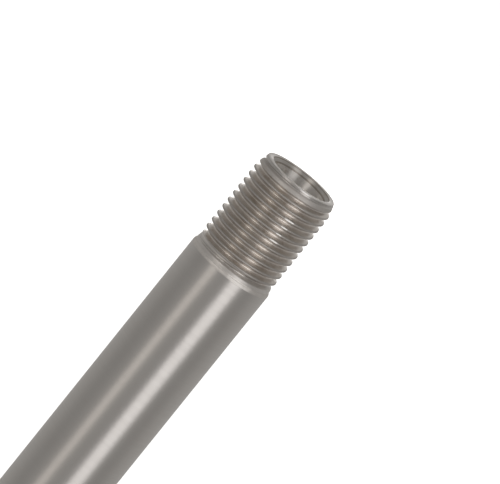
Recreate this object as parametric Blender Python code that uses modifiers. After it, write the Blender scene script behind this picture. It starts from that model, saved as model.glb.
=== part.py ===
"""Straight tube thermocouple with a threaded tube end and a spring-loaded insert.

Frame: +Z runs along the tube towards its open, threaded end, and the origin is the centre
of the end face there, so the whole object lies below Z = 0. Sizes are in millimetres and
are turned into metres by MM.
"""

import math

import bmesh
import bpy

MM = 0.001

# Protection tube
LENGTH = 100.0
TUBE_R = 5.0
BORE_R = 3.3
PLUG_FLANGE = 3.0
PLUG_PLAY = 0.3
PLUG_END_ROUND = 1.5
FACE_R = 4.36
MOUTH_R = 3.72
MOUTH_DEPTH = 0.4
LEAD_IN = 1.6

# Parallel pipe thread G 1/8, right-hand, cut on the tube itself
PITCH = 0.907
CREST_R = 4.864
THREAD_DEPTH = 0.581
FLANK_ANGLE = math.radians(27.5)
ROOT_HALF = PITCH / 12
THREAD_TOP = 0.72
THREAD_START_ANGLE = math.radians(-30)
RUN_OUT_TOP = -11.1
RUN_OUT_END = -11.5
RELIEF_Z = -11.0
RELIEF_R = 4.66
RELIEF_RAMP = 0.3
CONE_END_Z = -12.15

# Weld ring between the tube and the plug
WELD_DEPTH = 1.0
WELD_HALF = 0.6
WELD_SIDE_GAP = 0.06
WELD_ROOT_GAP = 0.1
FIT_GAP = 0.05

# Measuring insert
SHEATH_R = 2.25
SHEATH_BORE_R = 1.65
CAP_ROUND = 0.8
CONDUCTOR_R = 0.4
WIRE_X = 0.85
SPIGOT_TOP = -93.0
SHEATH_BOTTOM = -91.95
SHEATH_TOP = -42.0
CORE_BOTTOM = -91.2
CORE_TOP = -42.3
POCKET_R = 1.35
POCKET_TOP = -89.0
BEAD_Z = -90.3
BEAD_HALF_X = 1.28
BEAD_HALF_Y = 0.85
BEAD_HALF_Z = 0.75

# Transition sleeve, its joints and the two tails
SLEEVE_R = 3.0
SLEEVE_BOTTOM = -46.0
SLEEVE_TOP = -34.0
SLEEVE_STEP = -41.8
CRIMP_HEIGHTS = (3.0, 1.6)
CRIMP_HALF = 0.4
CRIMP_FLOOR_HALF = 0.15
CRIMP_DEPTH = 0.2
POTTING_R = 2.45
POTTING_SINK = 0.3
SPLICE_R = 0.72
SPLICE_BOTTOM = -40.5
SPLICE_TOP = -37.0
SPLICE_MIDDLE = -38.75
SPLICE_END_BAND = 0.5
SPLICE_WAIST_START = 0.9
SPLICE_WAIST_END = 1.3
SPLICE_WAIST_DEPTH = 0.1
WIRE_END_GAP = 0.15
LEAD_R = 0.3
INSULATION_R = 0.65
INSULATION_BOTTOM = -36.6
INSULATION_TOP = -11.0
FERRULE_BOTTOM = -10.9
FERRULE_TOP = -7.6
FERRULE_R = 0.5
FERRULE_NECK = 0.9
COLLAR_R = 0.75
COLLAR_HEIGHT = 0.3
LEAD_TOP = -7.5

# Spring stack
WASHER_THICKNESS = 0.5
WASHER_R = 2.95
WASHER_BORE_R = 1.9
SPRING_WIRE_R = 0.3
SPRING_MEAN_R = 2.6
SPRING_ACTIVE_TURNS = 6
SPRING_END_PITCH = 0.66
SPRING_STEPS = 14
BUSH_R = 3.2
BUSH_BOTTOM = -18.0
BUSH_TOP = -13.0
BUSH_HOLE_R = 0.72
RING_WIRE_R = 0.28
RING_OPENING = math.radians(40)
RING_STEPS = 32
GROOVE_R = 3.62
GROOVE_HALF = 0.34

# Broken edges
EDGE = 0.3
THIN_EDGE = 0.1

# Roundness of the facets
TUBE_STEPS = 36
THREAD_STEPS = 30
PIECE_STEPS = 28
SMALL_STEPS = 12
WIRE_SIDES = 12
OUTSIDE = 5.3


def clear_scene():
    """Remove every object, and every collection left empty by that."""
    for obj in list(bpy.data.objects):
        bpy.data.objects.remove(obj)
    for collection in list(bpy.data.collections):
        bpy.data.collections.remove(collection)


def make_collection(name):
    """Return a new collection linked to the scene."""
    collection = bpy.data.collections.new(name)
    bpy.context.scene.collection.children.link(collection)
    return collection


def material(name, color, roughness, metallic):
    """Return a Principled BSDF material."""
    result = bpy.data.materials.new(name)
    result.use_nodes = True
    shader = result.node_tree.nodes["Principled BSDF"]
    shader.inputs["Base Color"].default_value = (*color, 1.0)
    shader.inputs["Roughness"].default_value = roughness
    shader.inputs["Metallic"].default_value = metallic
    return result


def add_object(name, data, collection, z=0.0, x=0.0, parent=None):
    """Link a new object at a height and offset given in millimetres."""
    obj = bpy.data.objects.new(name, data)
    obj.location = (x * MM, 0.0, z * MM)
    collection.objects.link(obj)
    if parent is not None:
        obj.parent = parent
        obj.matrix_parent_inverse = parent.matrix_world.inverted()
    return obj


def turned(name, profile, collection, closed, z=0.0, x=0.0, steps=PIECE_STEPS, parent=None):
    """Turn a profile of (radius, height) points about its own vertical axis."""
    mesh = bpy.data.meshes.new(name)
    edges = [(i, i + 1) for i in range(len(profile) - 1)]
    if closed:
        edges.append((len(profile) - 1, 0))
    mesh.from_pydata([(r * MM, 0.0, h * MM) for r, h in profile], edges, [])
    obj = add_object(name, mesh, collection, z, x, parent)
    screw = obj.modifiers.new("Turn", "SCREW")
    screw.axis = "Z"
    screw.angle = math.tau
    screw.steps = steps
    screw.render_steps = steps
    screw.use_merge_vertices = True
    screw.merge_threshold = 0.000001
    screw.use_smooth_shade = False
    return obj


def rod(name, radius, height, collection, z, x, sides=WIRE_SIDES, parent=None):
    """Make a straight round rod that stands on height z."""
    mesh = bpy.data.meshes.new(name)
    body = bmesh.new()
    bmesh.ops.create_cone(
        body,
        cap_ends=True,
        segments=sides,
        radius1=radius * MM,
        radius2=radius * MM,
        depth=height * MM,
    )
    bmesh.ops.translate(body, verts=body.verts, vec=(0.0, 0.0, height * MM / 2))
    body.to_mesh(mesh)
    body.free()
    return add_object(name, mesh, collection, z, x, parent)


def bent_wire(name, points, radius, collection, parent=None):
    """Make a round wire through points given in millimetres, with filled caps."""
    curve = bpy.data.curves.new(name, "CURVE")
    curve.dimensions = "3D"
    curve.bevel_depth = radius * MM
    curve.bevel_resolution = 2
    curve.use_fill_caps = True
    spline = curve.splines.new("POLY")
    spline.points.add(len(points) - 1)
    for point, place in zip(spline.points, points):
        point.co = (place[0] * MM, place[1] * MM, place[2] * MM, 1.0)
    return add_object(name, curve, collection, parent=parent)


def cut(obj, cutter):
    """Subtract a cutter from an object and show the cutter as a wire."""
    boolean = obj.modifiers.new("Cut", "BOOLEAN")
    boolean.operation = "DIFFERENCE"
    boolean.solver = "EXACT"
    boolean.object = cutter
    cutter.hide_render = True
    cutter.display_type = "WIRE"


def lift_at_run_out(vert):
    """Move a vertex of the thread cutter outwards where the groove runs out in the cone."""
    turn = (math.atan2(vert.co.y, vert.co.x) - THREAD_START_ANGLE) / math.tau
    first = THREAD_TOP + PITCH * turn
    centre = first - PITCH * round((first - vert.co.z / MM) / PITCH)
    lift = (RUN_OUT_TOP - centre) / (RUN_OUT_TOP - RUN_OUT_END)
    radius = math.hypot(vert.co.x, vert.co.y) / MM
    growth = 1 + max(lift, 0.0) * THREAD_DEPTH / radius
    vert.co.x *= growth
    vert.co.y *= growth


def thread_cutter(collection):
    """Sweep the groove's section down a right-hand helix, from above the end face."""
    root_r = CREST_R - THREAD_DEPTH
    shoulder_half = PITCH / 2 - 0.04
    shoulder_r = root_r + (shoulder_half - ROOT_HALF) / math.tan(FLANK_ANGLE)
    section = [
        (root_r, ROOT_HALF),
        (root_r, -ROOT_HALF),
        (shoulder_r, -shoulder_half),
        (OUTSIDE, -shoulder_half),
        (OUTSIDE, shoulder_half),
        (shoulder_r, shoulder_half),
    ]
    body = bmesh.new()
    corners = [
        body.verts.new(
            (
                r * MM * math.cos(THREAD_START_ANGLE),
                r * MM * math.sin(THREAD_START_ANGLE),
                (THREAD_TOP + h) * MM,
            )
        )
        for r, h in section
    ]
    face = body.faces.new(corners)
    steps = round((THREAD_TOP - RUN_OUT_END) / PITCH * THREAD_STEPS)
    bmesh.ops.spin(
        body,
        geom=[*body.verts, *body.edges, face],
        cent=(0.0, 0.0, 0.0),
        axis=(0.0, 0.0, 1.0),
        dvec=(0.0, 0.0, -PITCH * MM / THREAD_STEPS),
        angle=-math.tau * steps / THREAD_STEPS,
        steps=steps,
        use_duplicate=False,
    )
    for vert in body.verts:
        lift_at_run_out(vert)
    bmesh.ops.recalc_face_normals(body, faces=body.faces)
    mesh = bpy.data.meshes.new("thread_cutter")
    body.to_mesh(mesh)
    body.free()
    return add_object("thread_cutter", mesh, collection)


def wire_holes(obj, radius, bottom, top, cutters):
    """Drill the two wire holes through an object, one either side of the axis."""
    for side, x in (("positive", -WIRE_X), ("negative", WIRE_X)):
        name = f"{obj.name}_{side}_drill"
        drill = rod(name, radius, top - bottom + 2.0, cutters, bottom - 1.0, x, SMALL_STEPS)
        cut(obj, drill)


def build_tube(parts, cutters, parent):
    """Protection tube: thread, mouth, snap ring groove and weld preparation."""
    tube_bottom = PLUG_FLANGE - LENGTH
    groove_z = BUSH_TOP + FIT_GAP + RING_WIRE_R
    profile = [
        (FACE_R, 0.0),
        (CREST_R, -LEAD_IN),
        (CREST_R, RELIEF_Z + RELIEF_RAMP),
        (RELIEF_R, RELIEF_Z),
        (TUBE_R, CONE_END_Z),
        (TUBE_R, tube_bottom + WELD_HALF),
        (TUBE_R - WELD_DEPTH, tube_bottom),
        (BORE_R, tube_bottom),
        (BORE_R, groove_z - GROOVE_HALF),
        (GROOVE_R, groove_z - GROOVE_HALF),
        (GROOVE_R, groove_z + GROOVE_HALF),
        (BORE_R, groove_z + GROOVE_HALF),
        (BORE_R, -MOUTH_DEPTH),
        (MOUTH_R, 0.0),
    ]
    tube = turned("protection_tube", profile, parts, True, steps=TUBE_STEPS, parent=parent)
    cut(tube, thread_cutter(cutters))
    return tube


def build_plug(parts, parent):
    """Tip plug: a spigot in the bore and a flange with a rounded end."""
    shoulder = PLUG_FLANGE - FIT_GAP
    spigot_r = BORE_R - PLUG_PLAY
    spigot_top = SPIGOT_TOP + LENGTH
    arc = [
        (
            TUBE_R - PLUG_END_ROUND + PLUG_END_ROUND * math.cos(math.radians(15 * i)),
            PLUG_END_ROUND - PLUG_END_ROUND * math.sin(math.radians(15 * i)),
        )
        for i in range(7)
    ]
    profile = [
        (0.0, spigot_top),
        (spigot_r - EDGE, spigot_top),
        (spigot_r, spigot_top - EDGE),
        (spigot_r, shoulder),
        (TUBE_R - WELD_DEPTH, shoulder),
        (TUBE_R, shoulder - WELD_HALF),
        *arc,
        (0.0, 0.0),
    ]
    return turned("tip_plug", profile, parts, False, z=-LENGTH, steps=TUBE_STEPS, parent=parent)


def build_weld(parts, parent):
    """Ring of weld metal in the V between the tube and the plug, flush outside."""
    half = WELD_HALF - WELD_SIDE_GAP
    root_r = TUBE_R - WELD_DEPTH + WELD_ROOT_GAP
    profile = [(TUBE_R, half), (TUBE_R, -half), (root_r, 0.0)]
    z = PLUG_FLANGE - LENGTH - FIT_GAP / 2
    return turned("closing_weld", profile, parts, True, z=z, steps=TUBE_STEPS, parent=parent)


def build_sheath(parts, parent):
    """Metal sheath of the insert and the cap welded in its tip."""
    height = SHEATH_TOP - SHEATH_BOTTOM
    wall = [
        (SHEATH_R, height),
        (SHEATH_R, 0.0),
        (SHEATH_BORE_R, 0.0),
        (SHEATH_BORE_R, height),
    ]
    sheath = turned("insert_sheath", wall, parts, True, z=SHEATH_BOTTOM, parent=parent)
    bottom = SPIGOT_TOP + FIT_GAP
    flange = SHEATH_BOTTOM - FIT_GAP - bottom
    spigot_top = CORE_BOTTOM - 2 * FIT_GAP - bottom
    arc = [
        (
            SHEATH_R - CAP_ROUND + CAP_ROUND * math.cos(math.radians(18 * i)),
            CAP_ROUND - CAP_ROUND * math.sin(math.radians(18 * i)),
        )
        for i in range(6)
    ]
    cap_profile = [
        (0.0, spigot_top),
        (SHEATH_BORE_R - FIT_GAP, spigot_top),
        (SHEATH_BORE_R - FIT_GAP, flange),
        (SHEATH_R, flange),
        *arc,
        (0.0, 0.0),
    ]
    cap = turned("insert_tip_cap", cap_profile, parts, False, z=bottom, parent=parent)
    return sheath, cap


def build_core(parts, cutters, parent):
    """Magnesia round the conductors, with the pocket that holds the hot junction."""
    height = CORE_TOP - CORE_BOTTOM
    pocket = POCKET_TOP - CORE_BOTTOM
    radius = SHEATH_BORE_R - FIT_GAP
    profile = [
        (0.0, height),
        (radius, height),
        (radius, 0.0),
        (POCKET_R, 0.0),
        (POCKET_R, pocket),
        (0.0, pocket),
    ]
    core = turned("magnesia_core", profile, parts, False, z=CORE_BOTTOM, parent=parent)
    wire_holes(core, CONDUCTOR_R + FIT_GAP, POCKET_TOP, CORE_TOP, cutters)
    return core


def build_junction(parts, parent):
    """Welded bead that joins the two conductors."""
    mesh = bpy.data.meshes.new("hot_junction")
    body = bmesh.new()
    bmesh.ops.create_uvsphere(body, u_segments=16, v_segments=8, radius=1.0)
    size = (BEAD_HALF_X * MM, BEAD_HALF_Y * MM, BEAD_HALF_Z * MM)
    bmesh.ops.scale(body, vec=size, verts=body.verts)
    body.to_mesh(mesh)
    body.free()
    return add_object("hot_junction", mesh, parts, BEAD_Z, parent=parent)


def build_transition(parts, cutters, parent):
    """Transition sleeve with two crimp grooves, and the resin that closes it."""
    height = SLEEVE_TOP - SLEEVE_BOTTOM
    step = SLEEVE_STEP - SLEEVE_BOTTOM
    profile = [(SLEEVE_R - EDGE, height), (SLEEVE_R, height - EDGE)]
    for middle in CRIMP_HEIGHTS:
        profile += [
            (SLEEVE_R, middle + CRIMP_HALF),
            (SLEEVE_R - CRIMP_DEPTH, middle + CRIMP_FLOOR_HALF),
            (SLEEVE_R - CRIMP_DEPTH, middle - CRIMP_FLOOR_HALF),
            (SLEEVE_R, middle - CRIMP_HALF),
        ]
    profile += [
        (SLEEVE_R, EDGE),
        (SLEEVE_R - EDGE, 0.0),
        (SHEATH_R + FIT_GAP, 0.0),
        (SHEATH_R + FIT_GAP, step),
        (POTTING_R + FIT_GAP, step),
        (POTTING_R + FIT_GAP, height),
    ]
    sleeve = turned("transition_sleeve", profile, parts, True, z=SLEEVE_BOTTOM, parent=parent)
    bottom = SLEEVE_STEP + 2 * FIT_GAP
    top = SLEEVE_TOP - POTTING_SINK
    resin = [(0.0, top - bottom), (POTTING_R, top - bottom), (POTTING_R, 0.0), (0.0, 0.0)]
    seal = turned("potting_seal", resin, parts, False, z=bottom, parent=parent)
    wire_holes(seal, SPLICE_R + FIT_GAP, bottom, top, cutters)
    return sleeve, seal


def build_side(side, x, parts, parent):
    """Conductor, crimp splice, lead, insulation and ferrule of one leg."""
    bead_top = BEAD_Z + BEAD_HALF_Z * math.sqrt(1 - ((WIRE_X - CONDUCTOR_R) / BEAD_HALF_X) ** 2)
    foot = bead_top + FIT_GAP
    conductor_top = SPLICE_MIDDLE - WIRE_END_GAP
    lead_foot = SPLICE_MIDDLE + WIRE_END_GAP
    conductor_height = conductor_top - foot
    conductor = rod(
        f"{side}_conductor", CONDUCTOR_R, conductor_height, parts, foot, x, parent=parent
    )
    lead = rod(f"{side}_lead", LEAD_R, LEAD_TOP - lead_foot, parts, lead_foot, x, parent=parent)

    height = SPLICE_TOP - SPLICE_BOTTOM
    wide = CONDUCTOR_R + FIT_GAP
    narrow = LEAD_R + FIT_GAP
    waist = SPLICE_R - SPLICE_WAIST_DEPTH
    splice_profile = [
        (SPLICE_R, height),
        (SPLICE_R, height - SPLICE_END_BAND),
        (waist, height - SPLICE_WAIST_START),
        (waist, height - SPLICE_WAIST_END),
        (SPLICE_R, height / 2),
        (waist, SPLICE_WAIST_END),
        (waist, SPLICE_WAIST_START),
        (SPLICE_R, SPLICE_END_BAND),
        (SPLICE_R, 0.0),
        (wide, 0.0),
        (wide, height / 2),
        (narrow, height / 2),
        (narrow, height),
    ]
    splice = turned(
        f"{side}_splice", splice_profile, parts, True, SPLICE_BOTTOM, x, SMALL_STEPS, parent
    )

    height = INSULATION_TOP - INSULATION_BOTTOM
    skin = [(INSULATION_R, height), (INSULATION_R, 0.0), (narrow, 0.0), (narrow, height)]
    insulation = turned(
        f"{side}_lead_sleeve", skin, parts, True, INSULATION_BOTTOM, x, SMALL_STEPS, parent
    )

    height = FERRULE_TOP - FERRULE_BOTTOM
    ferrule_profile = [
        (FERRULE_R, height),
        (FERRULE_R, FERRULE_NECK),
        (COLLAR_R, COLLAR_HEIGHT),
        (COLLAR_R, 0.0),
        (narrow, 0.0),
        (narrow, height),
    ]
    ferrule = turned(
        f"{side}_ferrule", ferrule_profile, parts, True, FERRULE_BOTTOM, x, SMALL_STEPS, parent
    )
    return conductor, splice, lead, insulation, ferrule


def build_washer(parts, parent):
    """Washer on the transition sleeve, under the spring."""
    top = WASHER_THICKNESS
    profile = [
        (WASHER_R - THIN_EDGE, top),
        (WASHER_R, top - THIN_EDGE),
        (WASHER_R, THIN_EDGE),
        (WASHER_R - THIN_EDGE, 0.0),
        (WASHER_BORE_R, 0.0),
        (WASHER_BORE_R, top),
    ]
    z = SLEEVE_TOP + FIT_GAP
    return turned("seat_washer", profile, parts, True, z=z, parent=parent)


def build_spring(parts, parent):
    """Compression spring with one closed turn at each end."""
    bottom = SLEEVE_TOP + WASHER_THICKNESS + 2 * FIT_GAP + SPRING_WIRE_R
    top = BUSH_BOTTOM - FIT_GAP - SPRING_WIRE_R
    active_pitch = (top - bottom - 2 * SPRING_END_PITCH) / SPRING_ACTIVE_TURNS
    turns = SPRING_ACTIVE_TURNS + 2
    points = []
    for i in range(turns * SPRING_STEPS + 1):
        turn = i / SPRING_STEPS
        active = min(max(turn - 1, 0), SPRING_ACTIVE_TURNS)
        z = bottom + SPRING_END_PITCH * (turn - active) + active_pitch * active
        angle = math.tau * turn
        points.append((SPRING_MEAN_R * math.cos(angle), SPRING_MEAN_R * math.sin(angle), z))
    return bent_wire("compression_spring", points, SPRING_WIRE_R, parts, parent)


def build_bush(parts, cutters, parent):
    """Two-hole guide bush under the snap ring."""
    height = BUSH_TOP - BUSH_BOTTOM
    profile = [
        (0.0, height),
        (BUSH_R - EDGE, height),
        (BUSH_R, height - EDGE),
        (BUSH_R, EDGE),
        (BUSH_R - EDGE, 0.0),
        (0.0, 0.0),
    ]
    bush = turned("guide_bush", profile, parts, False, z=BUSH_BOTTOM, parent=parent)
    wire_holes(bush, BUSH_HOLE_R, BUSH_BOTTOM, BUSH_TOP, cutters)
    return bush


def build_snap_ring(parts, parent):
    """Open wire ring, half in the groove of the bore."""
    z = BUSH_TOP + FIT_GAP + RING_WIRE_R
    points = []
    for i in range(RING_STEPS + 1):
        angle = RING_OPENING / 2 + (math.tau - RING_OPENING) * i / RING_STEPS
        points.append((BORE_R * math.cos(angle), BORE_R * math.sin(angle), z))
    return bent_wire("snap_ring", points, RING_WIRE_R, parts, parent)


def paint(objects, finish):
    """Give objects a material."""
    for obj in objects:
        obj.data.materials.append(finish)


def smooth(parts):
    """Shade the round primitives smooth, and keep their end faces sharp."""
    for obj in parts.objects:
        if obj.type == "MESH" and len(obj.data.polygons):
            obj.data.shade_smooth()
            obj.data.set_sharp_from_angle(angle=math.radians(35))


def main():
    """Build the thermocouple."""
    clear_scene()
    parts = make_collection("thermocouple")
    cutters = make_collection("cutters")
    frame = add_object("tube_frame", None, parts)
    carriage = add_object("insert_carriage", None, parts, SPIGOT_TOP, parent=frame)
    bpy.context.view_layer.update()

    tube = build_tube(parts, cutters, frame)
    plug = build_plug(parts, frame)
    weld = build_weld(parts, frame)
    bush = build_bush(parts, cutters, frame)
    snap_ring = build_snap_ring(parts, frame)
    spring = build_spring(parts, frame)
    sheath, cap = build_sheath(parts, carriage)
    core = build_core(parts, cutters, carriage)
    junction = build_junction(parts, carriage)
    sleeve, seal = build_transition(parts, cutters, carriage)
    washer = build_washer(parts, carriage)
    positive = build_side("positive", -WIRE_X, parts, carriage)
    negative = build_side("negative", WIRE_X, parts, carriage)

    paint([tube, plug], material("ground_stainless", (0.47, 0.45, 0.43), 0.3, 1.0))
    paint([weld], material("weld_metal", (0.42, 0.40, 0.38), 0.42, 1.0))
    paint([sheath, cap], material("drawn_stainless", (0.50, 0.48, 0.46), 0.38, 1.0))
    paint([sleeve, washer], material("turned_stainless", (0.56, 0.55, 0.53), 0.28, 1.0))
    paint([spring, snap_ring], material("spring_steel", (0.60, 0.59, 0.58), 0.22, 1.0))
    paint([core], material("magnesia", (0.86, 0.85, 0.80), 0.9, 0.0))
    paint([bush], material("alumina", (0.90, 0.88, 0.82), 0.45, 0.0))
    paint([seal], material("potting_resin", (0.05, 0.05, 0.055), 0.4, 0.0))
    paint([positive[0]], material("nickel_chromium", (0.45, 0.44, 0.42), 0.35, 1.0))
    paint([negative[0]], material("nickel_aluminium", (0.52, 0.49, 0.44), 0.35, 1.0))
    paint([junction], material("junction_bead", (0.36, 0.34, 0.33), 0.5, 1.0))
    paint([positive[1], negative[1]], material("crimp_nickel", (0.66, 0.64, 0.60), 0.3, 1.0))
    paint([positive[2], negative[2]], material("lead_wire", (0.70, 0.68, 0.64), 0.3, 1.0))
    paint([positive[3]], material("green_insulation", (0.05, 0.32, 0.12), 0.45, 0.0))
    paint([negative[3]], material("white_insulation", (0.85, 0.84, 0.80), 0.45, 0.0))
    paint([positive[4], negative[4]], material("tinned_ferrule", (0.78, 0.77, 0.74), 0.25, 1.0))
    smooth(parts)


main()
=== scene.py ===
"""Looks of the straight tube thermocouple: fine surfaces, materials, light and camera.

Everything is in metres: +Z out of the open threaded end, origin on its end face. Sizes that the
nodes' boxes don't give are named here in millimetres, and scaled by MM.
"""

import math

import bmesh
import bpy
import numpy as np
from mathutils import Matrix, Vector, noise


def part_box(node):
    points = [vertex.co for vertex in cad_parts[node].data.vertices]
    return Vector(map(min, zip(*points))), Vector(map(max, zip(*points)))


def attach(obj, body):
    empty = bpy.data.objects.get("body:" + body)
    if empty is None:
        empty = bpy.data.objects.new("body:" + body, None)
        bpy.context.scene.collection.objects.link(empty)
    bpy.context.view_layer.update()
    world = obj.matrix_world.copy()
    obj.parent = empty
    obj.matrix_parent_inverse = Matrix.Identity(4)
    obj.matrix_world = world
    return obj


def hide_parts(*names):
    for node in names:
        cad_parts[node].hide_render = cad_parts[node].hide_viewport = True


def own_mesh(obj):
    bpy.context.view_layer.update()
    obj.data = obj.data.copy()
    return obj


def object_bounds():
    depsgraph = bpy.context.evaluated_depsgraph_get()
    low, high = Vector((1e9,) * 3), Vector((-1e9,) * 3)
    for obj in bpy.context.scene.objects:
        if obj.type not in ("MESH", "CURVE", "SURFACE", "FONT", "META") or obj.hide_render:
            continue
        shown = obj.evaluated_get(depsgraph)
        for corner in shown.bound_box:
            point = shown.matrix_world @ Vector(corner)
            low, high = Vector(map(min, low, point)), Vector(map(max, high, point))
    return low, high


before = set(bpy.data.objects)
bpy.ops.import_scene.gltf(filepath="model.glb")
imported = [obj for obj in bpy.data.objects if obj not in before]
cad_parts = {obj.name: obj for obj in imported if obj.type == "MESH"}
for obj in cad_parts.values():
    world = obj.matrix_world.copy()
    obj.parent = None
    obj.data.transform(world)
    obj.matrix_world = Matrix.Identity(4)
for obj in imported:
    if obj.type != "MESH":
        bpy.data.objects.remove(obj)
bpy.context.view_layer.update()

MM = 0.001

# Camera: height above the mouth's level, lean of the axis in view, and width of view in metres
CAMERA_ELEVATION = math.radians(12)
AXIS_LEAN = math.radians(51.18)
CAMERA_DISTANCE = 0.97
VIEW_WIDTH = 0.0527
TARGET = Vector((-0.085 * MM, 0.0, -8.74 * MM))

# Studio, in metres
SOFTBOX_DISTANCE = 0.6
FLOOR_SIZE = 3.0

# Thread cut on the protection tube, and the lead-in and run-out at its ends
PITCH = 0.907
CREST_R = 4.825
THREAD_DEPTH = 0.62
FLANK_SLOPE = 1 / math.tan(math.radians(27.5))
GROOVE_PHASE = -0.1115
FACE_R = 4.36
LEAD_IN = 1.6
ENTRY_TOP = -0.1
ENTRY_LOW = -0.6
ENTRY_LIFT = 0.11
RELIEF_Z = -11.0
RELIEF_R = 4.66
RELIEF_RAMP = 0.3
CONE_END_Z = -12.15
CONE_ROWS = (-11.95, -12.0, -12.05, -12.1)
RUN_OUT_TOP = -11.1
RUN_OUT_END = -11.5

# Flats knocked into the crests of four turns: their side, tilt, and each one's height and depth
KNOCK_ANGLE = math.radians(292)
KNOCK_TILT = 0.3
KNOCKS = ((-3.46, 0.036), (-4.36, 0.014), (-5.27, 0.008), (-6.18, 0.025))

# Inside of the tube
MOUTH_R = 3.72
MOUTH_DEPTH = 0.4
BORE_R = 3.3
GROOVE_R = 3.62
GROOVE_HALF = 0.34

# Weld and plug, and the gap between pieces that touch
WELD_HALF = 0.6
WELD_DEPTH = 1.0
WELD_RIPPLES = 44
PLUG_END_ROUND = 1.5
PLUG_PLAY = 0.3
FIT_GAP = 0.05

# Measuring insert: sheath, cap, core, and the sleeve with its crimps and resin
SHEATH_BORE_R = 1.65
CAP_ROUND = 0.8
POCKET_R = 1.35
POCKET_TOP = -89.0
SLEEVE_STEP = -41.8
CRIMP_HEIGHTS = (3.0, 1.6)
CRIMP_HALF = 0.4
CRIMP_FLAT_HALF = 0.15
CRIMP_DEPTH = 0.2
CRIMP_JAWS = 8
POTTING_R = 2.45

# Washer, bush, spring and snap ring
WASHER_BORE_R = 1.9
BUSH_HOLE_R = 0.72
BUSH_CHAMFER = 0.25
BUSH_CHAMFER_HEIGHT = 0.3
SPRING_WIRE_R = 0.3
SPRING_MEAN_R = 2.6
SPRING_ACTIVE_TURNS = 6
SPRING_END_PITCH = 0.66
SPRING_SEAT_DEPTH = 0.16
SPRING_SEAT_TURNS = 0.75
RING_OPENING = math.radians(40)

# Two legs: conductor, crimped splice, stranded lead, braid (its rise in radians) and ferrule
CONDUCTOR_R = 0.4
SPLICE_DENT_PLACE = 1.1
SPLICE_DENT_HALF = 0.32
SPLICE_DENT_DEPTH = 0.11
LEAD_R = 0.3
STRANDS_ROUND = 6
STRAND_LAY = 5.0
BRAID_YARNS = 6.0
BRAID_RISE = 7.0
BRAID_RELIEF = 0.025
FERRULE_R = 0.5
FERRULE_NECK = 0.9
FERRULE_BITES = (0.45, 1.1, 1.75)
FERRULE_BITE_HALF = 0.26
FERRULE_BITE_DEPTH = 0.05
COLLAR_R = 0.75
COLLAR_HEIGHT = 0.3

# Fineness of the turned surfaces: columns round, rows in a turn of thread, and rows in all of it
COLUMNS = 192
ROWS_PER_PITCH = 24
THREAD_ROWS = 315

# Longest edge that is closed up after a hole is cut
SLIVER = 0.002

# Distance between rings on an end face, as a share of that along a turned side
RING_SPREAD = 1.3

# Clearance between the tip and the floor
FLOOR_GAP = 0.02


def extent(node):
    """Middle x, outer radius, lowest and highest height of a node, in millimetres."""
    low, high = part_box(node)
    return (low[0] + high[0]) / 2 / MM, (high[1] - low[1]) / 2 / MM, low[2] / MM, high[2] / MM


TUBE_R, TUBE_BOTTOM = extent("protection_tube")[1:3]
RING_MIDDLE = sum(extent("snap_ring")[2:]) / 2


def smooth_min(a, b, width):
    """Return the lesser of two arrays, with the corner between them rounded off."""
    near = np.maximum(width - np.abs(a - b), 0.0) / width
    return np.minimum(a, b) - near * near * width / 4


def smooth_max(a, b, width):
    """Return the greater of two arrays, with the corner between them rounded off."""
    return -smooth_min(-a, -b, width)


def cone_radius(z):
    """Radius of the cone between the thread and the tube."""
    return RELIEF_R + (RELIEF_Z - z) * (TUBE_R - RELIEF_R) / (RELIEF_Z - CONE_END_Z)


def thread_radius(theta, z):
    """Radius of the threaded end at an angle and height, in millimetres."""
    groove = GROOVE_PHASE + PITCH * theta / math.tau
    centre = groove + np.round((z - groove) / PITCH) * PITCH
    offset = np.abs(z - centre)
    flank = CREST_R - THREAD_DEPTH / 2 + (offset - PITCH / 4) * FLANK_SLOPE
    lift = THREAD_DEPTH * np.clip((RUN_OUT_TOP - centre) / (RUN_OUT_TOP - RUN_OUT_END), 0.0, 1.6)
    lift = lift + ENTRY_LIFT * np.clip((centre - ENTRY_LOW) / (ENTRY_TOP - ENTRY_LOW), 0.0, 3.0)
    floor = np.full_like(z, CREST_R - THREAD_DEPTH)
    radius = smooth_max(flank, floor, 0.09) + lift
    radius = smooth_min(radius, np.full_like(z, CREST_R), 0.06)
    radius = smooth_min(radius, FACE_R - (CREST_R - FACE_R) * z / LEAD_IN, 0.05)
    ramp = RELIEF_R + (z - RELIEF_Z) * (CREST_R - RELIEF_R) / RELIEF_RAMP
    relief = smooth_max(cone_radius(z), ramp, 0.05)
    radius = np.where(z < RELIEF_Z + 4 * RELIEF_RAMP, smooth_min(radius, relief, 0.03), radius)
    for height, depth in KNOCKS:
        reach = CREST_R - depth - KNOCK_TILT * np.maximum(z - height, 0.0)
        flat = reach / np.maximum(np.cos(theta - KNOCK_ANGLE), 0.1)
        radius = np.where(np.abs(z - height) < PITCH / 2, np.minimum(radius, flat), radius)
    return radius


def finish_mesh(name, verts, faces, merge=1e-7):
    """Make one clean closed mesh of vertices and faces given in millimetres."""
    mesh = bpy.data.meshes.new(name)
    mesh.from_pydata((np.asarray(verts) * MM).tolist(), [], faces)
    body = bmesh.new()
    body.from_mesh(mesh)
    bmesh.ops.remove_doubles(body, verts=body.verts, dist=merge)
    bmesh.ops.dissolve_degenerate(body, edges=body.edges, dist=merge)
    bmesh.ops.recalc_face_normals(body, faces=body.faces)
    for face in body.faces:
        face.smooth = True
    body.to_mesh(mesh)
    body.free()
    return mesh


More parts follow.
